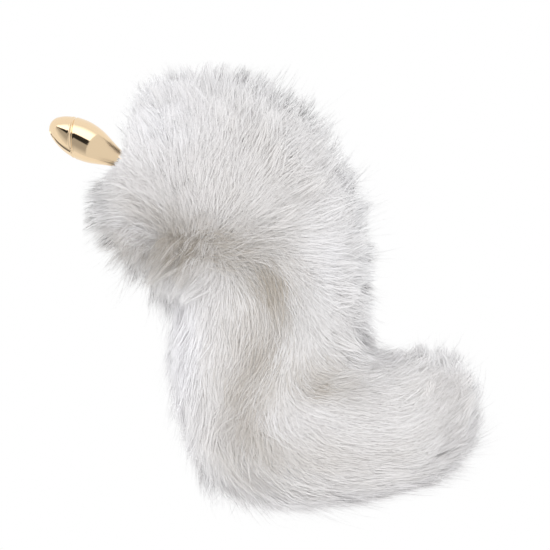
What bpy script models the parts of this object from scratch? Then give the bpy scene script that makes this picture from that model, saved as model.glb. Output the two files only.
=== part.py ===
"""A metal plug with a fox tail, lying on a flat surface in an S, as one Blender scene in metres.

The plug is turned: a bud-shaped head, a long taper, a narrow neck and a round base plate. A plain post joins the
plate to the tail's root. The tail is deep fur: a backing that follows the S, with locks fused to it.
"""

import math

import bmesh
import bpy
from mathutils import Vector

# Plug, measured along its axis from the head's apex
HEAD_RADIUS = 0.0140
NECK_RADIUS = 0.0038
NECK_AT = 0.0740
PLATE_RADIUS = 0.0130
PLATE_THICKNESS = 0.0040
PLATE_EDGE = 0.0008
PLUG_HEADING = math.radians(-28.0)
PLUG_RISE = math.radians(18.0)
PLUG_COLUMNS = 26

# Grooves of the head
RING_AT = 0.0218
RING_SLANT = 0.0066
GROOVE_WIDTH = 0.0013
GROOVE_DEPTH = 0.0007
SPLIT_ANGLE = math.radians(52.0)

# Post between plate and tail
STUD_RADIUS = 0.0025
STUD_LENGTH = 0.0030
COLLAR_RADIUS = 0.0080
COLLAR_THICKNESS = 0.0030
SHANK_RADIUS = 0.0040
SHANK_LENGTH = 0.0260
POST_COLUMNS = 18
SEAT_GAP = 0.0003
FUR_GAP = 0.0004

# Tail: the length of the hide, the fur's greatest half width and height, and the locks
TAIL_LENGTH = 0.356
FUR_HALF_WIDTH = 0.0770
FUR_HEIGHT = 0.094
LOCK_STAND = 0.0095
LOCK_LENGTH = 0.046
LOCK_WIDTH = 0.0170
LOCK_THICKNESS = 0.0085
LOCK_ROOT_SINK = 0.006
LOCK_SPACING = 0.0240
LOWEST_LOCK = -0.62
BACKING_COLUMNS = 22
BACKING_ROW_STEP = 0.0140
END_DOME = 0.92
BEND_ROOM = 0.74
FLOOR_GAP = 0.0002

# Head profile: share of NECK_AT from the apex, share of HEAD_RADIUS
HEAD_PROFILE = (
    (0.000, 0.00),
    (0.008, 0.20),
    (0.025, 0.37),
    (0.055, 0.52),
    (0.095, 0.66),
    (0.145, 0.78),
    (0.200, 0.88),
    (0.260, 0.955),
    (0.345, 1.00),
    (0.430, 0.975),
    (0.520, 0.885),
    (0.610, 0.730),
    (0.700, 0.565),
    (0.790, 0.430),
    (0.880, 0.335),
    (0.950, 0.285),
    (1.000, 0.271),
)

# Spine of the tail seen from above: x and y from the plate as shares of TAIL_LENGTH, then the fur's half width and
# height there as shares of FUR_HALF_WIDTH and FUR_HEIGHT
SPINE = (
    (0.063, -0.014, 0.87, 0.86),
    (0.132, -0.029, 0.95, 0.98),
    (0.201, -0.077, 1.00, 1.00),
    (0.242, -0.153, 0.96, 1.00),
    (0.258, -0.240, 0.91, 0.97),
    (0.258, -0.328, 0.92, 0.95),
    (0.263, -0.407, 0.95, 0.94),
    (0.301, -0.464, 0.94, 0.92),
    (0.372, -0.496, 0.81, 0.87),
    (0.450, -0.501, 0.72, 0.81),
    (0.521, -0.497, 0.65, 0.74),
    (0.576, -0.497, 0.51, 0.60),
)

# How the locks lie: share of the spine, reach along the tail as a share of LOCK_LENGTH (negative reaches back), and
# rise of the tip over the backing as a share of LOCK_STAND
LOCK_LAY = (
    (0.00, -0.05, 1.30),
    (0.08, 0.00, 1.35),
    (0.22, 0.25, 1.30),
    (0.40, 0.60, 1.15),
    (0.60, 0.90, 1.05),
    (0.85, 0.85, 1.00),
    (1.00, 0.35, 1.00),
)


def at_share(table, share, column):
    """A table's column at a share of its first column, straight between rows."""
    for low, high in zip(table, table[1:]):
        if share <= high[0]:
            part = (share - low[0]) / (high[0] - low[0])
            return low[column] + (high[column] - low[column]) * max(0.0, part)
    return table[-1][column]


def new_object(name, mesh_builder, material, parent):
    """A named object from a bmesh, with its material, placed under the parent."""
    mesh = bpy.data.meshes.new(name)
    mesh_builder.to_mesh(mesh)
    mesh_builder.free()
    mesh.shade_smooth()
    mesh.set_sharp_from_angle(angle=math.radians(40.0))
    mesh.materials.append(material)
    obj = bpy.data.objects.new(name, mesh)
    bpy.context.scene.collection.objects.link(obj)
    obj.parent = parent
    return obj


def plain_material(name, colour, roughness, metallic):
    material = bpy.data.materials.new(name)
    material.use_nodes = True
    shader = material.node_tree.nodes["Principled BSDF"]
    shader.inputs["Base Color"].default_value = (*colour, 1.0)
    shader.inputs["Roughness"].default_value = roughness
    shader.inputs["Metallic"].default_value = metallic
    return material


def join_rings(builder, rings, closed_start=None, closed_end=None):
    """Skins rings of equal length, with a point or a flat cap at each end. Faces are turned outwards afterwards."""
    for ring, following in zip(rings, rings[1:]):
        for i, vertex in enumerate(ring):
            j = (i + 1) % len(ring)
            builder.faces.new((vertex, ring[j], following[j], following[i]))
    for ring, point in ((rings[0], closed_start), (rings[-1], closed_end)):
        if point is None:
            builder.faces.new(ring)
            continue
        for i, vertex in enumerate(ring):
            builder.faces.new((vertex, ring[(i + 1) % len(ring)], point))
    bmesh.ops.recalc_face_normals(builder, faces=builder.faces)
    bmesh.ops.triangulate(builder, faces=builder.faces)


# Plug axes: x towards the tail, y across, z up to the side that faces up
def plug_axes():
    along = Vector(
        (
            math.cos(PLUG_RISE) * math.cos(PLUG_HEADING),
            math.cos(PLUG_RISE) * math.sin(PLUG_HEADING),
            math.sin(PLUG_RISE),
        )
    )
    across = Vector((math.sin(PLUG_HEADING), -math.cos(PLUG_HEADING), 0.0))
    return along, across, across.cross(along)


def head_radius(at):
    """The smooth radius of head, taper and neck, before its grooves."""
    share = min(max(at / NECK_AT, 0.0), 1.0)
    return HEAD_RADIUS * smooth_profile(share)


def smooth_profile(share):
    """HEAD_PROFILE through its points with a slope at each, so that the turned surface is smooth."""
    points = HEAD_PROFILE
    slopes = []
    for i in range(len(points)):
        before, after = points[max(i - 1, 0)], points[min(i + 1, len(points) - 1)]
        slopes.append((after[1] - before[1]) / (after[0] - before[0]))
    for i, (low, high) in enumerate(zip(points, points[1:])):
        if share <= high[0]:
            span = high[0] - low[0]
            t = (share - low[0]) / span
            return (
                (2 * t**3 - 3 * t**2 + 1) * low[1]
                + (t**3 - 2 * t**2 + t) * span * slopes[i]
                + (3 * t**2 - 2 * t**3) * high[1]
                + (t**3 - t**2) * span * slopes[i + 1]
            )
    return points[-1][1]


def plate_front():
    """Where the base plate starts on the axis, just behind the neck."""
    return NECK_AT + 0.5 * PLATE_EDGE


def plug_length():
    return plate_front() + PLATE_THICKNESS


def apex_height():
    """Height of the apex that lays the head's lowest point just over the surface."""
    steps = 200
    depths = []
    for i in range(steps + 1):
        at = NECK_AT * i / steps
        depths.append(head_radius(at) * math.cos(PLUG_RISE) - at * math.sin(PLUG_RISE))
    return max(depths) + FLOOR_GAP


def plug_point(at, radius, angle):
    """A point of the plug in the tail's frame, whose origin lies under the back of the plate."""
    along, across, up = plug_axes()
    offset = at - plug_length()
    base = Vector((0.0, 0.0, apex_height() + plug_length() * math.sin(PLUG_RISE)))
    return base + along * offset + (across * math.sin(angle) + up * math.cos(angle)) * radius


def ring_shift(angle, at):
    """How far a row is slid along the axis, so that the rows at the ring groove lie in its slanted plane."""
    fade_out = max(0.0, 1.0 - max(0.0, at - RING_AT) / (NECK_AT * 0.45))
    fade_in = min(1.0, at / RING_AT)
    return RING_SLANT * math.sin(angle) * fade_in * fade_out


def plug_rows():
    """Rows of the turned surface up to the neck: distance from the apex and groove depth."""
    half = GROOVE_WIDTH / 2
    before = [RING_AT * share for share in (0.05, 0.14, 0.26, 0.40, 0.55, 0.70, 0.84)]
    groove = [(RING_AT - half, 0.0), (RING_AT, GROOVE_DEPTH), (RING_AT + half, 0.0)]
    count = 17
    after = [RING_AT + half + (NECK_AT - RING_AT - half) * i / count for i in range(1, count + 1)]
    return [(at, 0.0) for at in before] + groove + [(at, 0.0) for at in after]


def groove_angles(radius):
    """Column angles with three columns at each side of the split, closer together where the head is wide."""
    half = min(GROOVE_WIDTH / 2 / radius, 0.5)
    angles = []
    for side in (0.0, math.pi):
        middle = SPLIT_ANGLE + side
        angles += [(middle - half, False), (middle, True), (middle + half, False)]
        count = PLUG_COLUMNS // 2 - 3
        step = (math.pi - 2 * half) / (count + 1)
        angles += [(middle + half + step * i, False) for i in range(1, count + 1)]
    return angles


def build_plug(material, parent):
    """Head, taper, neck and base plate as one turned solid with its two grooves and the hole for the stud."""
    builder = bmesh.new()
    rings = []
    for at, depth in plug_rows():
        radius = head_radius(at)
        split = GROOVE_DEPTH if at < RING_AT - GROOVE_WIDTH / 4 else 0.0
        ring = []
        for angle, in_split in groove_angles(radius):
            slid = at + ring_shift(angle, at)
            cut = max(depth, split if in_split else 0.0)
            ring.append(builder.verts.new(plug_point(slid, head_radius(slid) - cut, angle)))
        rings.append(ring)
    plate = (
        (plate_front(), PLATE_RADIUS - PLATE_EDGE),
        (plate_front() + PLATE_EDGE, PLATE_RADIUS),
        (plug_length() - PLATE_EDGE, PLATE_RADIUS),
        (plug_length(), PLATE_RADIUS - PLATE_EDGE),
        (plug_length(), STUD_RADIUS + SEAT_GAP),
        (plug_length() - STUD_LENGTH, STUD_RADIUS + SEAT_GAP),
    )
    for at, radius in plate:
        angles = [angle for angle, _ in groove_angles(head_radius(NECK_AT))]
        rings.append([builder.verts.new(plug_point(at, radius, angle)) for angle in angles])
    apex = builder.verts.new(plug_point(GROOVE_DEPTH, 0.0, 0.0))
    join_rings(builder, rings, closed_start=apex)
    return new_object("plug", builder, material, parent)


def turned(profile, columns):
    """A solid turned about the plug's axis from (distance from the apex, radius) pairs, closed flat at both ends."""
    builder = bmesh.new()
    rings = []
    for at, radius in profile:
        angles = [2 * math.pi * i / columns for i in range(columns)]
        rings.append([builder.verts.new(plug_point(at, radius, angle)) for angle in angles])
    join_rings(builder, rings)
    return builder


def post_profile(grown=0.0):
    """The post from the stud's end to the shank's end, or the room for it when grown."""
    back = plug_length()
    collar_end = back + SEAT_GAP + COLLAR_THICKNESS
    return (
        (back - STUD_LENGTH + SEAT_GAP - grown, STUD_RADIUS + grown),
        (back + SEAT_GAP - grown, STUD_RADIUS + grown),
        (back + SEAT_GAP - grown, COLLAR_RADIUS + grown),
        (collar_end + grown, COLLAR_RADIUS + grown),
        (collar_end + grown, SHANK_RADIUS + grown),
        (collar_end + SHANK_LENGTH + grown, SHANK_RADIUS + grown),
    )


def build_post(material, parent):
    return new_object("tail_post", turned(post_profile(), POST_COLUMNS), material, parent)


def spine_point(position):
    """Place, half width and height at a position along the SPINE rows, smooth between them."""
    i = min(int(position), len(SPINE) - 2)
    t = position - i
    rows = [SPINE[min(max(i + k, 0), len(SPINE) - 1)] for k in (-1, 0, 1, 2)]
    weights = (
        -0.5 * t**3 + t**2 - 0.5 * t,
        1.5 * t**3 - 2.5 * t**2 + 1.0,
        -1.5 * t**3 + 2.0 * t**2 + 0.5 * t,
        0.5 * t**3 - 0.5 * t**2,
    )
    x, y, wide, high = (sum(w * row[k] for w, row in zip(weights, rows)) for k in range(4))
    return Vector((x * TAIL_LENGTH, y * TAIL_LENGTH, 0.0)), wide * FUR_HALF_WIDTH, high * FUR_HEIGHT


def turn_near(position):
    """How sharply the spine turns at a position, left positive, as one over the radius in metres."""
    last, reach = len(SPINE) - 1, 0.8
    low, high = max(position - reach, 0.0), min(position + reach, last)
    start, middle, end = (spine_point(at)[0] for at in (low, (low + high) / 2, high))
    first, second = middle - start, end - middle
    turn = math.atan2(first.x * second.y - first.y * second.x, first.dot(second))
    return 2 * turn / (first.length + second.length)


class Section:
    """A cross section of the tail at a length along its spine: its place, the way the tail runs, and its size."""

    def __init__(self, length):
        inside = min(max(length, 0.0), SPINE_LENGTHS[-1])
        past = length - inside
        last = len(SPINE) - 1
        position = last * at_length(inside)
        ahead = spine_point(min(position + 0.02, last))[0]
        behind = spine_point(max(position - 0.02, 0.0))[0]
        self.share = inside / SPINE_LENGTHS[-1]
        self.place, self.wide, self.high = spine_point(position)
        self.along = (ahead - behind).normalized()
        self.side = Vector((-self.along.y, self.along.x, 0.0))
        bend = turn_near(position)
        self.left = min(1.0, BEND_ROOM / max(bend * self.wide, 1e-6))
        self.right = min(1.0, BEND_ROOM / max(-bend * self.wide, 1e-6))
        self.place += self.along * past
        self.dome = min(1.0, max(-1.0, past / (END_DOME * self.wide)))
        self.swell = math.sqrt(1.0 - self.dome**2)

    def surface(self, angle, inset):
        """A point of the section, its sides and top drawn in by inset. Angle 0 is the side and 90 degrees the top."""
        wide = (self.wide - inset) * self.swell
        wide *= self.left if math.cos(angle) > 0 else self.right
        half_high = (0.54 * self.high - 0.5 * inset) * self.swell
        middle = 0.46 * self.high - 0.5 * inset
        point = self.place + self.side * (wide * math.cos(angle))
        return point + Vector((0.0, 0.0, middle + half_high * math.sin(angle)))

    def way_out(self, angle):
        out = self.side * (math.cos(angle) / self.wide)
        out += Vector((0.0, 0.0, math.sin(angle) / (0.54 * self.high)))
        return (out.normalized() * self.swell + self.along * self.dome).normalized()


def spine_lengths():
    """Length along the spine at each of many even steps of its rows."""
    steps = 30 * (len(SPINE) - 1)
    lengths, previous = [0.0], spine_point(0.0)[0]
    for i in range(1, steps + 1):
        here = spine_point((len(SPINE) - 1) * i / steps)[0]
        lengths.append(lengths[-1] + (here - previous).length)
        previous = here
    return lengths


SPINE_LENGTHS = spine_lengths()


def at_length(length):
    """Share of the spine's rows that a length along it stands for."""
    for i, (low, high) in enumerate(zip(SPINE_LENGTHS, SPINE_LENGTHS[1:])):
        if length <= high:
            return (i + (length - low) / (high - low)) / (len(SPINE_LENGTHS) - 1)
    return 1.0


def dome_lengths(rises):
    """Lengths past both ends of the spine where the domes have turned by each of these angles."""
    end = SPINE_LENGTHS[-1]
    first, last = Section(0.0).wide * END_DOME, Section(end).wide * END_DOME
    return [-first * math.sin(rise) for rise in rises], [end + last * math.sin(rise) for rise in rises]


def build_backing(material, parent):
    """The solid fur under the locks: a tube along the spine, closed by a dome at each end."""
    builder = bmesh.new()
    angles = [2 * math.pi * (i + 0.5) / BACKING_COLUMNS for i in range(BACKING_COLUMNS)]
    count = round(SPINE_LENGTHS[-1] / BACKING_ROW_STEP)
    lengths = [SPINE_LENGTHS[-1] * i / count for i in range(count + 1)]
    before, after = dome_lengths([math.radians(rise) for rise in (24.0, 46.0, 68.0, 90.0)])
    points = []
    for length in [*reversed(before), *lengths, *after]:
        section = Section(length)
        shrink = section.along * (-section.dome * LOCK_STAND)
        points.append([section.surface(angle, LOCK_STAND) + shrink for angle in angles])
    rings = [[builder.verts.new(point) for point in ring] for ring in points[1:-1]]
    caps = [builder.verts.new(ring[0]) for ring in (points[0], points[-1])]
    join_rings(builder, rings, *caps)
    return new_object("fur_tail", builder, material, parent)


def distance_to_plug(point):
    """How far a point lies outside the plug's surface."""
    along, _, _ = plug_axes()
    base = plug_point(plug_length(), 0.0, 0.0)
    at = (point - base).dot(along) + plug_length()
    radial = ((point - base) - along * (at - plug_length())).length
    post_end = post_profile()[-1][0]
    if at > post_end:
        return math.hypot(radial, at - post_end)
    if at > NECK_AT:
        return radial - (PLATE_RADIUS if at < plug_length() else SHANK_RADIUS)
    return radial - head_radius(at) if at > 0 else radial - at


def nearest_to_plug(points):
    """How near a lock's path comes to the plug or its post."""
    places = []
    for start, end in zip(points, points[1:]):
        places += [start.lerp(end, share) for share in (0.0, 0.25, 0.5, 0.75, 1.0)]
    return min(distance_to_plug(place) for place in places)


def lock_path(length, angle):
    """Four points of a lock that follows the tail, from its sunk root to its tip, and its outward way."""
    section = Section(length)
    reach = LOCK_LENGTH * at_share(LOCK_LAY, section.share, 1)
    stand = LOCK_STAND * at_share(LOCK_LAY, section.share, 2)
    out = section.way_out(angle)
    points = [section.surface(angle, LOCK_STAND + LOCK_ROOT_SINK)]
    early = 1.0 - 0.5 * min(1.0, abs(reach) / LOCK_LENGTH)
    for forward in (0.30, 0.64, 1.00):
        ahead = Section(length + reach * forward)
        rise = ahead.way_out(angle) * (stand * forward**early)
        points.append(ahead.surface(angle, LOCK_STAND) + rise)
    for point in points:
        point.z = max(point.z, LOCK_THICKNESS)
    return points, out


def add_lock(builder, points, out, size):
    """A tapered lock, wide across the tail and thin outwards: the hull of three five-sided rings and a tip."""
    sides = 5
    shape = ((1.00, 0.85), (1.00, 1.00), (0.62, 0.66))
    for i, (wide, thick) in enumerate(shape):
        heading = (points[i + 1] - points[max(i - 1, 0)]).normalized()
        across = heading.cross(out).normalized()
        outward = across.cross(heading)
        for k in range(sides):
            angle = 2 * math.pi * (k + 0.25) / sides
            offset = across * (math.cos(angle) * wide * LOCK_WIDTH / 2 * size)
            offset += outward * (math.sin(angle) * thick * LOCK_THICKNESS / 2 * size)
            builder.verts.new(points[i] + offset)
    builder.verts.new(points[-1])
    hull = bmesh.ops.convex_hull(builder, input=builder.verts, use_existing_faces=False)
    inside = [item for item in hull["geom_interior"] if isinstance(item, bmesh.types.BMVert)]
    bmesh.ops.delete(builder, geom=inside, context="VERTS")
    bmesh.ops.recalc_face_normals(builder, faces=builder.faces)


def build_locks(material, parent):
    """Locks in staggered rows over the top, the sides and the ends of the backing, each its own closed mesh."""
    locks = bpy.data.collections.new("locks")
    bpy.context.scene.collection.children.link(locks)
    count = round(SPINE_LENGTHS[-1] / LOCK_SPACING)
    lengths = [SPINE_LENGTHS[-1] * i / count for i in range(count + 1)]
    before, after = dome_lengths([math.radians(rise) for rise in (22.0, 46.0)])
    for row, length in enumerate([*reversed(before), *lengths, *after]):
        section = Section(length)
        around = math.pi * (section.wide + 0.54 * section.high - 2 * LOCK_STAND) * section.swell
        in_row = max(4, round(around / LOCK_SPACING))
        for i in range(in_row):
            angle = 2 * math.pi * (i + 0.5 * (row % 2)) / in_row
            if math.sin(angle) < LOWEST_LOCK:
                continue
            points, out = lock_path(length, angle)
            if nearest_to_plug(points) < LOCK_WIDTH / 2:
                continue
            builder = bmesh.new()
            add_lock(builder, points, out, 0.70 + 0.30 * section.wide / FUR_HALF_WIDTH)
            lock = new_object(f"lock_{row}_{i}", builder, material, parent)
            hide_helper(lock)
            bpy.context.scene.collection.objects.unlink(lock)
            locks.objects.link(lock)
    return locks


def room_for_plug():
    """The room in the fur for the taper, neck, plate and post, open around the taper."""
    rows = 12
    start = NECK_AT * 0.30
    profile = [(start + (NECK_AT - start) * i / rows, 0.0) for i in range(rows)]
    profile = [(at, head_radius(at) + FUR_GAP) for at, _ in profile]
    post = [(at, radius) for at, radius in post_profile(FUR_GAP) if at > plug_length() + FUR_GAP]
    plate = [
        (plate_front() - FUR_GAP, head_radius(NECK_AT) + FUR_GAP),
        (plate_front() - FUR_GAP, PLATE_RADIUS + FUR_GAP),
        (plug_length() + FUR_GAP, PLATE_RADIUS + FUR_GAP),
        (plug_length() + FUR_GAP, COLLAR_RADIUS + FUR_GAP),
    ]
    return turned(profile + plate + post, POST_COLUMNS)


def floor_block():
    """A block under the resting plane, which flattens what lies on it."""
    builder = bmesh.new()
    side = 3 * TAIL_LENGTH
    bmesh.ops.create_cube(builder, size=side)
    bmesh.ops.translate(builder, verts=builder.verts, vec=(0.0, 0.0, -side / 2))
    return builder


def hide_helper(obj):
    obj.hide_render = True
    obj.display_type = "WIRE"


def add_boolean(obj, operation, helper, solver="EXACT"):
    """Cuts a helper object from obj, or joins the objects of a helper collection to it."""
    modifier = obj.modifiers.new(f"{operation.lower()} {helper.name}", "BOOLEAN")
    modifier.operation = operation
    modifier.solver = solver
    if isinstance(helper, bpy.types.Collection):
        modifier.operand_type = "COLLECTION"
        modifier.collection = helper
    else:
        modifier.object = helper


def keep_outer_skin(obj):
    """Applies the Booleans and fills the small hollows that are sealed in between crossing locks."""
    graph = bpy.context.evaluated_depsgraph_get()
    whole = bmesh.new()
    whole.from_object(obj, graph)
    bmesh.ops.triangulate(whole, faces=whole.faces)
    unseen, skins = set(whole.faces), []
    while unseen:
        skin, front = set(), [unseen.pop()]
        while front:
            face = front.pop()
            skin.add(face)
            for edge in face.edges:
                if len(edge.link_faces) != 2:
                    continue
                beyond = [other for other in edge.link_faces if other in unseen]
                unseen.difference_update(beyond)
                front += beyond
        skins.append(skin)
    outer = max(skins, key=len)
    inner = [face for face in whole.faces if face not in outer]
    bmesh.ops.delete(whole, geom=inner, context="FACES")
    obj.modifiers.clear()
    whole.to_mesh(obj.data)
    whole.free()


def centre_on_origin(assembly, objects):
    """Moves the assembly so that its box is centred over the origin, on the resting plane."""
    bpy.context.view_layer.update()
    graph = bpy.context.evaluated_depsgraph_get()
    corners = []
    for obj in objects:
        evaluated = obj.evaluated_get(graph)
        corners += [evaluated.matrix_world @ Vector(c) for c in evaluated.bound_box]
    low = [min(c[k] for c in corners) for k in range(2)]
    high = [max(c[k] for c in corners) for k in range(2)]
    assembly.location = (-(low[0] + high[0]) / 2, -(low[1] + high[1]) / 2, 0.0)


def main():
    for obj in list(bpy.data.objects):
        bpy.data.objects.remove(obj)
    gold = plain_material("gold", (0.90, 0.74, 0.52), 0.12, 1.0)
    steel = plain_material("steel", (0.62, 0.61, 0.58), 0.35, 1.0)
    fur = plain_material("fur", (0.88, 0.87, 0.85), 0.90, 0.0)
    assembly = bpy.data.objects.new("assembly", None)
    bpy.context.scene.collection.objects.link(assembly)

    plug = build_plug(gold, assembly)
    post = build_post(steel, assembly)
    tail = build_backing(fur, assembly)
    locks = build_locks(fur, assembly)
    floor = new_object("floor_block", floor_block(), fur, assembly)
    room = new_object("room_for_plug", room_for_plug(), fur, assembly)
    for helper in (floor, room):
        hide_helper(helper)
        add_boolean(tail, "DIFFERENCE", helper)
    add_boolean(tail, "UNION", locks, solver="MANIFOLD")
    keep_outer_skin(tail)
    centre_on_origin(assembly, (plug, post, tail))


main()
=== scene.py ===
"""A gold metal plug with a deep white fox tail, laid in an S on a white table, seen from above."""

import math

import bpy
import numpy as np
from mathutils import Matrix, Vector


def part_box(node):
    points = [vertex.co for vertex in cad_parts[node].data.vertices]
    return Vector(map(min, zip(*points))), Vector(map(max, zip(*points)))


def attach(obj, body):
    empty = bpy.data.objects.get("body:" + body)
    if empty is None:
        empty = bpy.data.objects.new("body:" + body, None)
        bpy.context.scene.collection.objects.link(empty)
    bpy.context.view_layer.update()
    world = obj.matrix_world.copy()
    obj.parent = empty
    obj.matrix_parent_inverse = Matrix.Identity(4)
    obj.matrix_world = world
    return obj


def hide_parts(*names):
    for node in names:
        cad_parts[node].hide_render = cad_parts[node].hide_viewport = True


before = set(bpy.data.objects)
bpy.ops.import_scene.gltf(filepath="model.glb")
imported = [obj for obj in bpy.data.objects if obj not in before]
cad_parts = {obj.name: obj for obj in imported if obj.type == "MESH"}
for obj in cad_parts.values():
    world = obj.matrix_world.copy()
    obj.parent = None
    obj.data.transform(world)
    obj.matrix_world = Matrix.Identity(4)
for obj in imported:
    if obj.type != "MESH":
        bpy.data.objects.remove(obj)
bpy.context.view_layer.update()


# The plug
# A cast and turned metal bud, polished and plated a pale gold. A slanted groove runs round its head, and
# one along it splits the tip in two lobes. Its neck and base plate sit in the fur, against the tail's root.
class Socket:
    """A shader output that can be added, subtracted and multiplied, each operation being a Math node."""

    def __init__(self, tree, output):
        self.tree = tree
        self.output = output

    def node(self, kind, inputs=(), output=0, **settings):
        """Any other node, its inputs given as {name or index: number, colour or Socket}."""
        made = self.tree.nodes.new(kind)
        for key, value in settings.items():
            setattr(made, key, value)
        for key, value in dict(inputs).items():
            if isinstance(value, Socket):
                self.tree.links.new(value.output, made.inputs[key])
            else:
                made.inputs[key].default_value = value
        return Socket(self.tree, made.outputs[output])

    def math(self, operation, other=0.0, swap=False):
        pair = (other, self) if swap else (self, other)
        return self.node("ShaderNodeMath", {0: pair[0], 1: pair[1]}, operation=operation)

    def __add__(self, other):
        return self.math("ADD", other)

    __radd__ = __add__

    def __sub__(self, other):
        return self.math("SUBTRACT", other)

    def __rsub__(self, other):
        return self.math("SUBTRACT", other, swap=True)

    def __mul__(self, other):
        return self.math("MULTIPLY", other)

    __rmul__ = __mul__

    def between(self, low, high):
        """A smooth 0 to 1 as this value goes from low to high."""
        span = {"Value": self, "From Min": low, "From Max": high}
        return self.node("ShaderNodeMapRange", span, interpolation_type="SMOOTHSTEP")

    def mix(self, first, second):
        """The first colour where this value is 0 and the second where it is 1."""
        made = self.tree.nodes.new("ShaderNodeMix")
        made.data_type = "RGBA"
        self.tree.links.new(self.output, made.inputs["Factor"])
        for key, value in (("A", first), ("B", second)):
            socket = next(s for s in made.inputs if s.name == key and s.type == "RGBA")
            if isinstance(value, Socket):
                self.tree.links.new(value.output, socket)
            else:
                socket.default_value = (*value, 1.0)
        return Socket(self.tree, next(s for s in made.outputs if s.type == "RGBA"))


def principled(name, **constants):
    """A new material, its Principled shader with these constants, and a socket that patterns start from."""
    material = bpy.data.materials.new(name)
    material.use_nodes = True
    shader = material.node_tree.nodes["Principled BSDF"]
    for key, value in constants.items():
        shader.inputs[key.replace("_", " ")].default_value = value
    return material, shader, Socket(material.node_tree, None)


def mesh_object(name, points, faces, material, uvs=None, normals=None):
    """A smooth mesh from arrays, riding on the one body. Faces are arrays, one for each corner count."""
    mesh = bpy.data.meshes.new(name)
    mesh.vertices.add(len(points))
    mesh.vertices.foreach_set("co", np.ascontiguousarray(points, np.float32).ravel())
    corners = np.concatenate([np.asarray(f, np.int32).ravel() for f in faces])
    counts = np.concatenate([np.full(len(f), f.shape[1], np.int32) for f in faces])
    mesh.loops.add(len(corners))
    mesh.loops.foreach_set("vertex_index", corners)
    mesh.polygons.add(len(counts))
    starts = np.concatenate([[0], np.cumsum(counts)[:-1]]).astype(np.int32)
    mesh.polygons.foreach_set("loop_start", starts)
    mesh.update(calc_edges=True)
    mesh.shade_smooth()
    if uvs is not None:
        layer = mesh.uv_layers.new(name="OFBake")
        layer.data.foreach_set("uv", np.ascontiguousarray(uvs[corners], np.float32).ravel())
    if normals is not None:
        mesh.normals_split_custom_set_from_vertices(np.ascontiguousarray(normals, np.float32))
    mesh.materials.append(material)
    made = bpy.data.objects.new(name, mesh)
    bpy.context.scene.collection.objects.link(made)
    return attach(made, "root")


def grid_faces(rows, columns):
    """Quads of a grid of rows by columns that closes on itself across the columns."""
    i, j = np.meshgrid(np.arange(rows - 1), np.arange(columns), indexing="ij")
    here, across = i * columns + j, i * columns + (j + 1) % columns
    return np.stack([here, across, across + columns, here + columns], -1).reshape(-1, 4)


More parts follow.
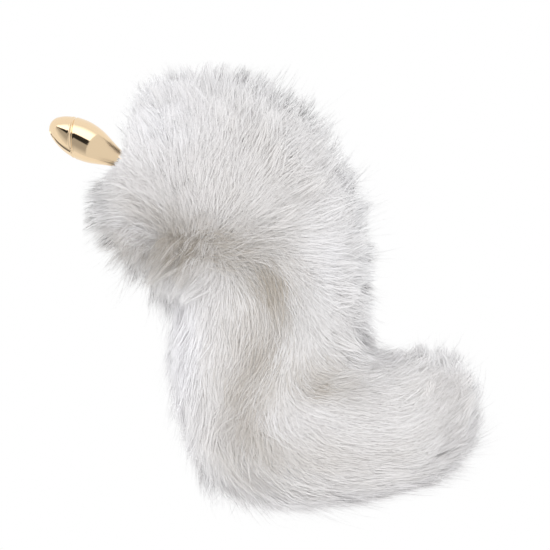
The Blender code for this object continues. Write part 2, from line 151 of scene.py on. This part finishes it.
def build_plug():
    head_radius, neck_at, rise, heading = 0.0140, 0.0740, math.radians(18.0), math.radians(-28.0)
    plate_radius, plate_thickness, plate_edge, seat = 0.0130, 0.0040, 0.0008, 0.0028
    ring_at, ring_slant, groove_half, groove_depth = 0.0218, 0.0066, 0.00075, 0.00100
    split, lip, ring_width = math.radians(52.0), 0.00016, 0.66
    play, hole_depth, tip_without_grooves = 0.0004, 0.003, 0.002
    profile = np.array(
        [
            (0.000, 0.00), (0.008, 0.20), (0.025, 0.37), (0.055, 0.52), (0.095, 0.66), (0.145, 0.78),
            (0.200, 0.88), (0.260, 0.955), (0.345, 1.00), (0.430, 0.975), (0.520, 0.885), (0.610, 0.730),
            (0.700, 0.565), (0.790, 0.430), (0.880, 0.335), (0.950, 0.285), (1.000, 0.271),
        ]
    )
    along = np.array(
        [math.cos(rise) * math.cos(heading), math.cos(rise) * math.sin(heading), math.sin(rise)]
    )
    across = np.array([math.sin(heading), -math.cos(heading), 0.0])
    up = np.cross(across, along)
    low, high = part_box("plug")

    def radius_at(at):
        share = np.clip(at / neck_at, 0.0, 1.0)
        slopes = np.gradient(profile[:, 1], profile[:, 0])
        slopes[0] = (profile[1, 1] - profile[0, 1]) / (profile[1, 0] - profile[0, 0])
        i = np.clip(np.searchsorted(profile[:, 0], share, "right") - 1, 0, len(profile) - 2)
        span = profile[i + 1, 0] - profile[i, 0]
        t = (share - profile[i, 0]) / span
        value = (2 * t**3 - 3 * t**2 + 1) * profile[i, 1] + (t**3 - 2 * t**2 + t) * span * slopes[i]
        value += (3 * t**2 - 2 * t**3) * profile[i + 1, 1] + (t**3 - t**2) * span * slopes[i + 1]
        return head_radius * value

    steps = neck_at * np.linspace(0.0, 1.0, 201)
    apex_z = np.max(radius_at(steps) * math.cos(rise) - steps * math.sin(rise)) + 0.0002
    columns, rows = 160, 210
    shares = np.linspace(0.0, 1.0, rows) ** 1.25
    at = np.repeat(neck_at * shares, columns)
    angle = np.tile(2 * math.pi * np.arange(columns) / columns, rows)
    radius = radius_at(at)
    ring = np.abs(at - ring_at - ring_slant * np.sin(angle))
    turn = np.abs((angle - split + math.pi / 2) % math.pi - math.pi / 2) * radius
    in_front = at < ring_at + ring_slant * np.sin(angle)
    groove = np.where(in_front, np.minimum(ring_width * ring, turn), ring_width * ring)
    groove = groove / groove_half
    cut = groove_depth * np.clip(1 - groove**2, 0, 1) - lip * np.exp(-((groove - 1.5) ** 2) / 0.12)
    radius = radius - cut * np.clip(at / tip_without_grooves, 0, 1)
    front, back = neck_at + play, neck_at + play + plate_thickness
    neck_radius = profile[-1, 1] * head_radius
    plate = [
        (front, neck_radius + 0.5 * play), (front, plate_radius - plate_edge),
        (front + 0.3 * plate_edge, plate_radius - 0.3 * plate_edge), (front + plate_edge, plate_radius),
        (back - plate_edge, plate_radius), (back - 0.3 * plate_edge, plate_radius - 0.3 * plate_edge),
        (back, plate_radius - plate_edge), (back, seat), (back - hole_depth, seat),
        (back - hole_depth, 0.0),
    ]
    at = np.concatenate([at] + [np.full(columns, a) for a, _ in plate])
    radius = np.concatenate([radius] + [np.full(columns, r) for _, r in plate])
    angle = np.tile(angle[:columns], rows + len(plate))
    points = np.array([0.0, 0.0, apex_z]) + np.outer(at, along)
    points += radius[:, None] * (np.outer(np.sin(angle), across) + np.outer(np.cos(angle), up))
    points[:, 0] += low.x - points[:, 0].min()
    points[:, 1] += high.y - points[: rows * columns, 1].max()
    gold, shader, start = principled(
        "gold", Metallic=1.0, Roughness=0.1, IOR=1.5, Base_Color=(0.885, 0.685, 0.45, 1.0)
    )
    where = start.node("ShaderNodeTexCoord", output="Object")
    grain = start.node("ShaderNodeTexNoise", {"Vector": where, "Scale": 420.0, "Detail": 3.0})
    gold.node_tree.links.new((0.06 + 0.04 * grain).output, shader.inputs["Roughness"])
    piece = mesh_object("gold_plug", points, [grid_faces(rows + len(plate), columns)], gold)
    piece.data.set_sharp_from_angle(angle=math.radians(38.0))
    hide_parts("plug")


build_plug()


# The post
# A small turned metal pin that holds the tail on the plate. Nothing of it shows, so it keeps the solid's
# own shape and gets a plain bare metal.
def finish_post():
    steel, _, _ = principled("steel", Metallic=1.0, Roughness=0.35, Base_Color=(0.62, 0.61, 0.58, 1.0))
    post = bpy.data.objects["tail_post"]
    post.data.materials.clear()
    post.data.materials.append(steel)


finish_post()


# The tail
# A soft hide sewn round the post, with deep white fur: a short dense undercoat, and long fine hair over it
# that stands off the root, lies along the tail further on, and parts into a hollow at the first bend, where
# the hair's colour is painted greyer as shade.
class TailForm:
    """The tail's shape as arrays along its spine, much as the solid's: an S with a dome at each end."""

    length_of_hide, half_width, height, end_dome, bend_room = 0.356, 0.0770, 0.094, 0.92, 1.15
    # Shares of the height over and under the tail's widest line
    over, under = 0.54, 0.46
    # x and y from the plate as shares of the hide's length, and the half width and height there
    spine = np.array(
        [
            (0.063, -0.014, 0.87, 0.86), (0.132, -0.029, 0.95, 0.98), (0.201, -0.077, 1.00, 1.00),
            (0.242, -0.153, 0.96, 1.00), (0.258, -0.240, 0.91, 0.97), (0.258, -0.328, 0.92, 0.95),
            (0.263, -0.407, 0.95, 0.94), (0.301, -0.464, 0.94, 0.92), (0.372, -0.496, 0.81, 0.87),
            (0.450, -0.501, 0.72, 0.81), (0.521, -0.497, 0.65, 0.74), (0.576, -0.497, 0.51, 0.60),
        ]
    )

    def __init__(self, root):
        rows = self.spine
        at = np.linspace(0, len(rows) - 1, 500)
        i = np.minimum(at.astype(int), len(rows) - 2)
        t = (at - i)[:, None]
        near = [rows[np.clip(i + k, 0, len(rows) - 1)] for k in (-1, 0, 1, 2)]
        curve = (-0.5 * t**3 + t**2 - 0.5 * t) * near[0] + (1.5 * t**3 - 2.5 * t**2 + 1) * near[1]
        curve += (-1.5 * t**3 + 2 * t**2 + 0.5 * t) * near[2] + (0.5 * t**3 - 0.5 * t**2) * near[3]
        self.place = curve[:, :2] * self.length_of_hide + np.array([root.x, root.y])
        steps = np.linalg.norm(np.diff(self.place, axis=0), axis=1)
        self.at = np.concatenate([[0.0], np.cumsum(steps)])
        self.end = self.at[-1]
        heading = np.unwrap(np.arctan2(*np.gradient(self.place, self.at, axis=0).T[::-1]))
        smooth = np.ones(61) / 61
        self.heading = np.convolve(np.pad(heading, 30, mode="edge"), smooth, "valid")
        self.bend = np.gradient(self.heading, self.at)
        self.wide = curve[:, 2] * self.half_width
        self.high = curve[:, 3] * self.height
        self.first_dome = self.wide[0] * self.end_dome
        self.last_dome = self.wide[-1] * self.end_dome

    def point(self, length, angle, inset, most=0.94):
        """Points of the tail drawn in by inset, the way out there and the way along. Domes end at most."""
        inside = np.clip(length, 0.0, self.end)
        past = length - inside
        columns = (self.wide, self.high, self.heading, self.bend)
        wide, high, heading, bend = [np.interp(inside, self.at, column) for column in columns]
        place = np.stack([np.interp(inside, self.at, self.place[:, k]) for k in (0, 1)], -1)
        zero = np.zeros_like(heading)
        along = np.stack([np.cos(heading), np.sin(heading), zero], -1)
        side = np.stack([-np.sin(heading), np.cos(heading), zero], -1)
        reach = np.where(past < 0, self.first_dome, self.last_dome)
        dome = np.clip(past / reach, -most, most)
        swell = np.sqrt(np.maximum(1.0 - dome**2, 0.0))
        across = (wide - inset) * swell
        room = np.where(np.cos(angle) > 0, bend, -bend) * wide
        across = across * np.minimum(1.0, self.bend_room / np.maximum(room, 1e-6))
        upward = (self.over * high - 0.5 * inset) * swell
        beyond = past - dome * inset
        point = np.concatenate([place, (self.under * high - 0.5 * inset)[..., None]], -1)
        point = point + along * beyond[..., None] + side * (across * np.cos(angle))[..., None]
        point[..., 2] += upward * np.sin(angle)
        out = side * (np.cos(angle) / wide)[..., None]
        out[..., 2] += np.sin(angle) / (self.over * high)
        out /= np.linalg.norm(out, axis=-1, keepdims=True)
        out = out * swell[..., None] + along * dome[..., None]
        return point, out / np.linalg.norm(out, axis=-1, keepdims=True), along


def unit(vectors):
    return vectors / np.maximum(np.linalg.norm(vectors, axis=-1, keepdims=True), 1e-9)


def soft_noise(points, seed, scale):
    """Smooth noise from -1 to 1 over points, features about scale metres across: a sum of turned waves."""
    draw = np.random.default_rng(seed)
    total = np.zeros(points.shape[:-1])
    for _ in range(7):
        wave = unit(draw.normal(size=3)) * 2 * math.pi / (scale * draw.uniform(1.2, 2.8))
        total += np.sin(points @ wave + draw.uniform(0, 2 * math.pi))
    return np.clip(total / 3.2, -1.0, 1.0)


def hair_material():
    """White hair, greyer as its map's first value rises, a value that carries painted shade and painted
    light along with the hair's own tone, and deeper in tone towards the root.
    """
    hair, shader, start = principled("fur hair", Roughness=0.62, Specular_IOR_Level=0.25)
    uv = start.node("ShaderNodeUVMap", uv_map="OFBake")
    parts = uv.node("ShaderNodeSeparateXYZ", {0: uv})
    # The map's first value: greyer in painted shade, whiter in painted light, with the hair's own uneven
    # tone
    shade_and_tone = Socket(parts.tree, parts.output.node.outputs["X"])
    from_root = Socket(parts.tree, parts.output.node.outputs["Y"])
    tips = shade_and_tone.mix((0.965, 0.962, 0.975), (0.51, 0.455, 0.385))
    roots = shade_and_tone.mix((0.94, 0.935, 0.94), (0.44, 0.39, 0.325))
    colour = from_root.between(0.05, 0.70).mix(roots, tips)
    hair.node_tree.links.new(colour.output, shader.inputs["Base Color"])
    return hair


low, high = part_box("plug")
# The plate from the plug's upper left corner, its height, the picture's scale, and that corner on it
plate_right, plate_down, plate_height = 0.0637, 0.0378, 0.0294
pixel, corner_x, corner_y = 0.0007, 46, 114
root = Vector((low.x + plate_right, high.y - plate_down, 0.0))
form = TailForm(root)
draw = np.random.default_rng(41)


def seen_at(x, y):
    """The place in the row frame of points on the picture, counted in its pixels."""
    right, down = (np.asarray(x) - corner_x) * pixel, (np.asarray(y) - corner_y) * pixel
    return np.stack([low.x + right, high.y - down], -1)


# How the hair lies, seen from above: x and y on the picture, heading in degrees, reach and lift in mm
lie = np.array(
    [
        (108, 205, 176, 10, 0), (112, 240, 204, 13, 2), (132, 256, 234, 20, 14),
        (158, 268, 246, 22, 18), (182, 276, 256, 18, 8), (116, 165, 158, 13, 1),
        (142, 122, 128, 19, 3), (182, 102, 102, 21, 4), (222, 98, 84, 22, 4),
        (262, 112, 62, 22, 3), (302, 140, 44, 22, 2), (335, 178, 32, 20, 2), (352, 225, 12, 18, 1),
        (356, 285, -18, 17, 0), (345, 330, -48, 20, 0), (150, 180, 132, 22, 2),
        (180, 175, 98, 24, 2), (220, 170, 74, 25, 2), (262, 168, 54, 25, 2), (292, 205, 34, 24, 1),
        (310, 250, 2, 22, 1), (150, 222, 120, 16, 1), (178, 226, 96, 17, 1), (206, 228, 66, 18, 1),
        (238, 232, 28, 22, 1), (225, 252, -24, 30, 2), (258, 268, -40, 34, 2),
        (286, 296, -70, 36, 2), (292, 326, -98, 36, 2), (276, 356, -118, 36, 2),
        (252, 382, -120, 36, 2), (238, 410, -100, 36, 2), (240, 440, -74, 36, 2),
        (264, 466, -44, 36, 1), (310, 484, -16, 34, 1), (370, 482, 0, 32, 1),
        (425, 466, 12, 28, 1), (204, 268, -112, 22, 1), (190, 304, -102, 24, 3),
        (178, 345, -97, 22, 5), (180, 395, -86, 22, 5), (192, 440, -100, 26, 9),
        (210, 474, -84, 28, 14), (244, 492, -62, 26, 8), (222, 330, -92, 28, 1),
        (214, 385, -84, 28, 1), (320, 395, -24, 24, 0), (330, 430, -16, 30, 1),
        (385, 400, 2, 28, 1), (400, 362, 16, 16, 0), (440, 385, 8, 24, 1), (468, 420, 16, 18, 1),
        (456, 454, 14, 20, 1), (380, 440, 0, 30, 1),
    ]
)
lie_places = seen_at(lie[:, 0], lie[:, 1])
turn = np.radians(lie[:, 2])
blend_over, lengthened = 0.008, 1.25
lie_values = np.stack([np.cos(turn), np.sin(turn), lie[:, 3] / 1000, lie[:, 4] / 1000], -1)


def lie_at(points):
    """Heading, reach and lift of the hair at points, the nearest places counting most."""
    apart = points[:, None, :2] - lie_places
    near = 1.0 / (np.sum(apart**2, axis=-1) + blend_over**2) ** 2
    mean = (near / near.sum(axis=-1, keepdims=True)) @ lie_values
    return unit(mean[:, :2]), lengthened * mean[:, 2], mean[:, 3]


# Darker and lighter zones of the hair's colour, mostly painted shade and painted light: place and size on
# the picture, and how much greyer
zones = {
    # Painted shade: the hollow under the ball and the swirl beside it
    "hollow": (169, 248, 52, 30, 0.58),
    "swirl": (222, 250, 36, 18, 0.68),
    # Greyer along the sweep and the middle of the S
    "sweep": (276, 300, 24, 36, 0.32),
    "middle": (250, 400, 26, 62, 0.42),
    # Painted shade under the tail and in the crease
    "underside": (290, 455, 60, 20, 0.08),
    "crease": (324, 385, 26, 15, 0.30),
    # Painted light, whiter where the light falls: the tip, the ball's top, the shoulder and the flank
    "tip": (425, 425, 50, 30, -0.03),
    "ball": (160, 122, 58, 38, -0.19),
    "shoulder": (186, 345, 18, 60, -0.22),
    "flank": (334, 262, 26, 58, -0.13),
}


def in_zone(points, name):
    x, y, wide, deep, amount = zones[name]
    away = (points[..., :2] - seen_at(x, y)) / (np.array([wide, deep]) * pixel)
    return amount * np.exp(-np.sum(away**2, axis=-1))


def inset_at(length):
    """Depth of the hair's roots under its outline, deepest round the plug."""
    along_hide = np.array([-0.20, -0.04, 0.25, 0.5, 0.85, 1.0])
    depth = np.array([32, 14.5, 13, 12, 11, 10]) / 1000
    return np.interp(length / form.end, along_hide, depth)


def liveliness(points):
    """Near 0 where the fur is a smooth fluff, and 1 where it shows its strands."""
    return np.clip(0.22 + 2.4 * sum(in_zone(points, name) for name in zones), 0.12, 1.0)


# The line where the fur ends round the plug, as seen from above
base = np.array([root.x, root.y, plate_height])
level, sideways = np.array([0.883, -0.469, 0.0]), np.array([0.469, 0.883, 0.0])


def short_of_plug(points):
    """How far points are behind the line where the fur ends, and below 0 past it."""
    beside = np.array([-60, -45, -30, -14, -6, 0, 6, 12, 24, 43, 58, 66, 78, 95]) / 1000
    reach = np.array([60, 30, 23, 19, 16, 14.5, 15.5, 18, 22, 26, 29, 23, 13, 8]) / 1000
    return (points - base) @ level + np.interp((points - base) @ sideways, beside, reach)


def fade_at(points):
    """Width of the zone inside that line over which the fur thins out."""
    beside = np.array([-45, -16, 0, 16, 28, 45, 60]) / 1000
    wide = np.array([10, 11, 10, 14, 18, 18, 16]) / 1000
    return np.interp((points - base) @ sideways, beside, wide)



# The undercoat
# Short dense wool on the hide, the same S as the tail and sunk under the long hair. It closes the gaps
# between the hairs, draws in where the fur parts at the first bend, and stops short of the plug.
lengths = np.concatenate(
    [
        -form.first_dome * np.sin(np.linspace(math.pi / 2, 0.06, 20)),
        np.linspace(0.0, form.end, 124),
        form.end + form.last_dome * np.sin(np.linspace(0.06, math.pi / 2, 16)),
    ]
)
columns, off_table, parting, lumps = 84, 0.0006, 0.014, 0.0010
grid_length = np.repeat(lengths, columns)
grid_angle = np.tile(2 * math.pi * np.arange(columns) / columns, len(lengths))
points, out, _ = form.point(grid_length, grid_angle, inset_at(grid_length) + 0.0004, most=1.0)
top = np.clip(points[:, 2] / 0.03 - 0.6, 0, 1)
points -= out * (parting * in_zone(points, "hollow") * top)[:, None]
points += out * (lumps * soft_noise(points, 3, 0.012))[:, None]
points += level * np.clip(fade_at(points) + 0.002 - short_of_plug(points), 0.0, None)[:, None]
points[:, 2] = np.maximum(points[:, 2], off_table)
under, _, _ = principled(
    "fur undercoat", Roughness=0.95, Base_Color=(0.90, 0.89, 0.895, 1.0), Specular_IOR_Level=0.1
)
undercoat = mesh_object("fur_undercoat", points, [grid_faces(len(lengths), columns)], under)
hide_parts("fur_tail")


# The long hair
# Fine white guard hair in tufts on the hide. Each tuft has its own place, lie and tone, the tone greyer in
# painted shade and whiter in painted light, and its hairs draw together towards their tips. Wisps stand off
# the outline, and nearly every hair stops short of the plug.
wanted, per_tuft, batch, underside, kept = 5500, 32, 6000, 0.004, []
while sum(len(k) for k in kept) < wanted:
    length = draw.uniform(-form.first_dome, form.end + form.last_dome, batch)
    angle = draw.uniform(0, 2 * math.pi, batch)
    point, out, _ = form.point(length, angle, inset_at(length))
    inside = np.clip(length, 0.0, form.end)
    girth = np.interp(inside, form.at, form.wide) / form.half_width
    past = (length - inside) / np.where(length < 0, form.first_dome, form.last_dome)
    girth = girth * np.sqrt(1 - past**2)
    above = 0.26 + 0.74 * (np.sin(angle) > -0.30)
    above = np.where(point[:, 2] < underside, 0.0, above)
    keep = draw.uniform(0, 1, batch) < girth * above
    kept.append(np.stack([length[keep], angle[keep]], -1))
tufts = np.concatenate(kept)[:wanted]
tufts = tufts[np.argsort(tufts[:, 0])]
count = wanted * per_tuft
tuft = np.repeat(np.arange(wanted), per_tuft)
tuft_point, tuft_out, _ = form.point(tufts[:, 0], tufts[:, 1], inset_at(tufts[:, 0]))
edge = np.clip(1.9 - 2.0 * np.abs(tuft_out[:, 2]), 0.0, 1.0)
share = np.clip(tufts[:, 0] / form.end, 0.0, 1.0)
fluffy = np.interp(share, (0.0, 0.30, 0.55, 0.70, 0.88, 1.0), (1.0, 0.85, 0.5, 0.35, 0.35, 0.7))
lively = liveliness(tuft_point)
wild = 0.03 + 0.10 * lively + 0.22 * in_zone(tuft_point, "hollow")
swerve = (0.15 + 0.32 * lively) * soft_noise(tuft_point, 11, 0.034) + draw.normal(0, 1.0, wanted) * wild
rise = 0.0030 * soft_noise(tuft_point, 12, 0.026) * fluffy + draw.normal(0, 0.0010, wanted) * lively
wave = draw.uniform(0, 2 * math.pi, wanted)
wispy = draw.uniform(0, 1, wanted) < 0.03 + 0.17 * edge
rise += np.where(wispy, draw.uniform(0.002, 0.011, wanted), 0.0) * fluffy
hug = np.where(wispy, draw.uniform(0.40, 0.80, wanted), 0.86)
curl = np.interp(share, (0.0, 0.85, 1.0), (0.0, 0.15, 0.9)) * draw.uniform(0.3, 1.2, wanted)
curl *= np.where(wispy, 1.7, 1.0)

# Hair paths, drawn together towards their tuft's own path near the tip
girth = np.interp(np.clip(tufts[:, 0], 0, form.end), form.at, form.wide)
spread = 0.0040
length = tufts[tuft, 0] + draw.normal(0, spread, count)
angle = tufts[tuft, 1] + draw.normal(0, spread, count) / np.maximum(0.6 * girth[tuft], 0.01)
stray = draw.uniform(0, 1, count) < ((0.04 + 0.12 * fluffy) * (0.2 + 0.8 * edge))[tuft]
own = np.where(stray, draw.uniform(0.9, 1.6, count), draw.uniform(0.62, 1.12, count))
loose = np.where(stray, 0.013 * draw.uniform(0, 1, count) ** 1.4, draw.normal(0, 0.0020, count))
loose *= (fluffy * (0.35 + 0.65 * np.maximum(edge, lively)))[tuft]
own *= np.where(wispy, 1.25, 1.0)[tuft]
times = np.array([0.0, 0.42, 0.76, 1.0])
fall_over, strand_turn = 0.070, 0.34
tuck = np.interp(share, (0.0, 0.3, 0.5), (0.0090, 0.0080, 0.0065))


def grow(length, angle, which, own, loose, veer):
    """Paths of hairs from their roots, each following the lie of the hair that it passes over."""
    depth = inset_at(tufts[which, 0])
    paths, strayed, last = [], np.zeros((len(length), 3)), 0.0
    for t in times:
        here, out, _ = form.point(length, angle, depth + (tuck[which] - depth) * t**0.7)
        heading, reach, lift = lie_at(here + strayed)
        bend = swerve[which] + curl[which] * t + veer
        bend = bend + strand_turn * (lively * np.sin(5.0 * t + wave))[which]
        turned = heading * np.cos(bend)[:, None]
        turned += np.stack([-heading[:, 1], heading[:, 0]], -1) * np.sin(bend)[:, None]
        step = np.concatenate([turned, np.zeros((len(length), 1))], 1)
        facing_out = np.sum(step * out, axis=1)
        step -= out * (facing_out * np.where(facing_out > 0, hug[which], 1.0))[:, None]
        strayed = strayed + step * (reach * own * (t - last))[:, None]
        last = t
        sag = np.sum(strayed**2, axis=1) * 0.5 / fall_over
        stand = (lift + rise[which] + loose) * t
        path = here + strayed + out * (stand - sag * np.clip(out[:, 2] + 0.3, 0, 1))[:, None]
        path[:, 2] -= 0.006 * t**2 * (1 - np.abs(out[:, 2])) * np.clip(path[:, 2] / 0.02, 0, 1)
        path -= out * (0.009 * in_zone(tuft_point, "hollow")[which])[:, None]
        paths.append(path)
    return np.stack(paths), out


everyone = np.arange(wanted)
centre, _ = grow(tufts[:, 0], tufts[:, 1], everyone, np.full(wanted, 0.95), np.zeros(wanted), 0.0)
paths, outs = grow(length, angle, tuft, own, loose, draw.normal(0, 0.10, count))
pull = np.where(wispy, 0.75, 0.10 + 0.62 * lively)[tuft] * times[:, None] ** 1.5
pull = pull * np.where(stray, 0.15, 1.0)
paths += (centre[:, tuft] - paths) * pull[..., None]
scatter = unit(draw.normal(size=(count, 3))) * np.where(stray, 0.0040, 0.0016)[:, None]
paths += scatter * times[:, None, None]
floor, ceiling = (np.array(corner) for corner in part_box("fur_tail"))
past_solid = 0.014
held = np.clip(paths[-1], floor - past_solid, ceiling + past_solid)
paths += (held - paths[-1]) * times[:, None, None] ** 2

# Hair ends short of the plug, so that it stays in view, and keeps off the metal
slack = 0.001 - fade_at(paths[-1]) * draw.uniform(0, 1.2, count)
off_axis = np.clip(np.abs((paths[-1] - base) @ sideways) / 0.014 - 0.6, 0.0, 1.0)
slack += np.where(stray, draw.uniform(0.0, 0.012, count) * off_axis, 0.0)
root_room, least_room = short_of_plug(paths[0]) + slack, 0.009
paths += level * np.clip(least_room - root_room, 0.0, None)[:, None]
root_room = np.maximum(root_room, least_room)
tip_room = short_of_plug(paths[-1]) + slack
kept_part = np.where(tip_room < 0, root_room / np.maximum(root_room - tip_room, 1e-6), 1.0)
paths = paths[0] + (paths - paths[0]) * np.clip(kept_part, 0.12, 1.0)[:, None]
rise_angle = math.radians(18)
axis = level * math.cos(rise_angle) + np.array([0.0, 0.0, math.sin(rise_angle)])
back = (paths - base) @ axis
radial = paths - base - back[..., None] * axis
gap = np.linalg.norm(radial, axis=-1)
behind_plate = np.array([-78, -70, -52, -30, -6, 0]) / 1000
metal = np.array([0, 10, 14.8, 9.5, 4.6, 0]) / 1000
room = np.interp(back, behind_plate, metal)
push = np.clip(room - gap, 0.0, None)
paths += radial / np.maximum(gap, 1e-4)[..., None] * push[..., None]
paths[..., 2] = np.maximum(paths[..., 2], off_table)

# Ribbons
run = unit(np.gradient(paths, axis=0))
flat = unit(np.cross(run, outs[None]))
lifted = np.cross(flat, run)
lie_flat = np.where(stray, 0.0, 1 - lively[tuft])
twist = (draw.uniform(-0.9, 0.9, count) * (1 - 0.85 * lie_flat))[None, :, None]
flat = flat * np.cos(twist) + lifted * np.sin(twist)
wide = np.array([0.00026, 0.00027, 0.00018, 0.0])[:, None, None]
thickness = draw.uniform(0.7, 1.25, count) * np.where(stray, 0.65, 1.0) * (1 + 0.6 * lie_flat)
wide = wide * thickness[None, :, None]
left, right = paths - flat * wide / 2, paths + flat * wide / 2
facing = unit(0.93 * outs[None] + 0.14 * lifted)

# Each tuft's tone: greyer or whiter by the zones it lies in, as painted shade and painted light, then
# uneven in random streaks
shade = sum(in_zone(centre[2], name) for name in zones)
uneven = 0.02 + 0.50 * np.clip(shade, 0.0, 0.4)
round_spine = np.stack([np.cos(tufts[:, 1]), np.sin(tufts[:, 1]), 2.0 * tufts[:, 0]], -1)
streaks = soft_noise(0.045 * round_spine, 21, 0.007)
# Whiter towards the outline: painted light on the rim hair, which falls in shade
tone = 0.25 - 0.12 * edge + shade + uneven * (1.6 * streaks + draw.normal(0, 0.6, wanted))
tone = np.clip(tone[tuft] + draw.normal(0, 0.03, count), 0.02, 0.98)

hair = hair_material()
names = ("fur_root", "fur_ball", "fur_shoulder", "fur_middle", "fur_bend", "fur_tip")
for name, chosen in zip(names, np.array_split(np.arange(count), len(names))):
    strands = len(chosen)
    levels = [side[k, chosen] for k in range(3) for side in (left, right)] + [paths[3, chosen]]
    points = np.stack(levels, 1).reshape(-1, 3)
    normals = np.stack([facing[k, chosen] for k in (0, 0, 1, 1, 2, 2, 3)], 1).reshape(-1, 3)
    uvs = np.empty((strands, 7, 2))
    uvs[:, :, 0] = tone[chosen][:, None]
    uvs[:, :, 1] = np.repeat(times, (2, 2, 2, 1))[None]
    first = (np.arange(strands) * 7)[:, None]
    quads = np.concatenate([first + 2 * k + np.array([0, 1, 3, 2]) for k in range(2)])
    ends = first + np.array([4, 5, 6])
    piece = mesh_object(name, points, [quads, ends], hair, uvs.reshape(-1, 2), normals)
    print(name, strands, "hairs")


# The studio
# A glowing white table, four soft lamps that the metal doesn't reflect, a tent of light that the plug
# reflects, and a camera straight above.
def light_studio():
    low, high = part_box("plug")
    middle = Vector((low.x + 0.1603, high.y - 0.1127, 0.045))
    camera = bpy.data.objects.new("camera", bpy.data.cameras.new("camera"))
    camera_height, seen_width, sensor = 2.5, 0.385, 36.0
    camera.location = middle + Vector((0.0, 0.0, camera_height))
    camera.data.sensor_width = sensor
    camera.data.lens = sensor * camera_height / seen_width
    bpy.context.scene.collection.objects.link(camera)
    bpy.context.scene.camera = camera

    def softbox(name, place, size, watts, colour=(1.0, 0.995, 0.985)):
        lamp = bpy.data.lights.new(name, "AREA")
        lamp.shape = "RECTANGLE"
        lamp.size, lamp.size_y = size
        lamp.energy = watts
        lamp.color = colour
        made = bpy.data.objects.new(name, lamp)
        made.location = middle + Vector(place)
        made.rotation_euler = (middle - made.location).to_track_quat("-Z", "Y").to_euler()
        made.visible_glossy = False
        bpy.context.scene.collection.objects.link(made)

    softbox("softbox_top", (0.35, 0.85, 1.0), (1.7, 1.0), 1.0)
    softbox("softbox_bottom", (-0.30, -0.95, 0.9), (1.6, 0.9), 6.0)
    softbox("softbox_left", (-1.1, 0.15, 0.8), (1.1, 0.8), 3.4)
    softbox("softbox_right", (1.2, -0.1, 0.8), (1.1, 0.8), 2.0)

    # A tent round the table: one plain wall over the tail, and over the plug a bright far side, a greyer
    # near side, and a dark slot between them straight overhead
    world = bpy.data.worlds.new("studio")
    world.use_nodes = True
    sky = world.node_tree
    start = Socket(sky, None)
    toward = start.node("ShaderNodeTexCoord", output="Generated")
    parts = toward.node("ShaderNodeSeparateXYZ", {0: toward})
    x, y, z = (Socket(sky, parts.output.node.outputs[k]) for k in "XYZ")
    across = 0.469 * x + 0.883 * y
    tilt = across.node("ShaderNodeMath", {0: across, 1: z}, operation="ARCTAN2")
    far = tilt.between(math.radians(13), math.radians(20))
    far = far - 0.5 * tilt.between(math.radians(55), math.radians(85))
    near = (-1.0 * tilt).between(math.radians(12), math.radians(18))
    rim = (-1.0 * tilt).between(math.radians(45), math.radians(90))
    headward = across.node("ShaderNodeMath", {0: 0.469 * y - 0.883 * x, 1: z}, operation="ARCTAN2")
    window = headward.between(math.radians(13.2), math.radians(14.4))
    over_plug = 1.9 * far + 0.42 * near + 0.40 * rim + 0.03
    strength = window * over_plug + 0.865 * (1.0 - window)
    background = sky.nodes["Background"]
    background.inputs["Color"].default_value = (0.985, 0.99, 1.0, 1.0)
    sky.links.new(strength.output, background.inputs["Strength"])
    bpy.context.scene.world = world

    table = bpy.data.materials.new("table")
    table.use_nodes = True
    nodes = table.node_tree.nodes
    nodes.remove(nodes["Principled BSDF"])
    glow = nodes.new("ShaderNodeEmission")
    glow.inputs["Strength"].default_value = 1.0
    table.node_tree.links.new(glow.outputs[0], nodes["Material Output"].inputs["Surface"])
    mesh = bpy.data.meshes.new("table")
    side = 6.0
    corners = [(-side, -side, 0), (side, -side, 0), (side, side, 0), (-side, side, 0)]
    mesh.from_pydata(corners, [], [(0, 1, 2, 3)])
    mesh.materials.append(table)
    floor = bpy.data.objects.new("table", mesh)
    bpy.context.scene.collection.objects.link(floor)
    bpy.context.scene.view_settings.view_transform = "Standard"
    bpy.context.scene.cycles.diffuse_bounces = 8
    bpy.context.scene.cycles.max_bounces = 12


light_studio()
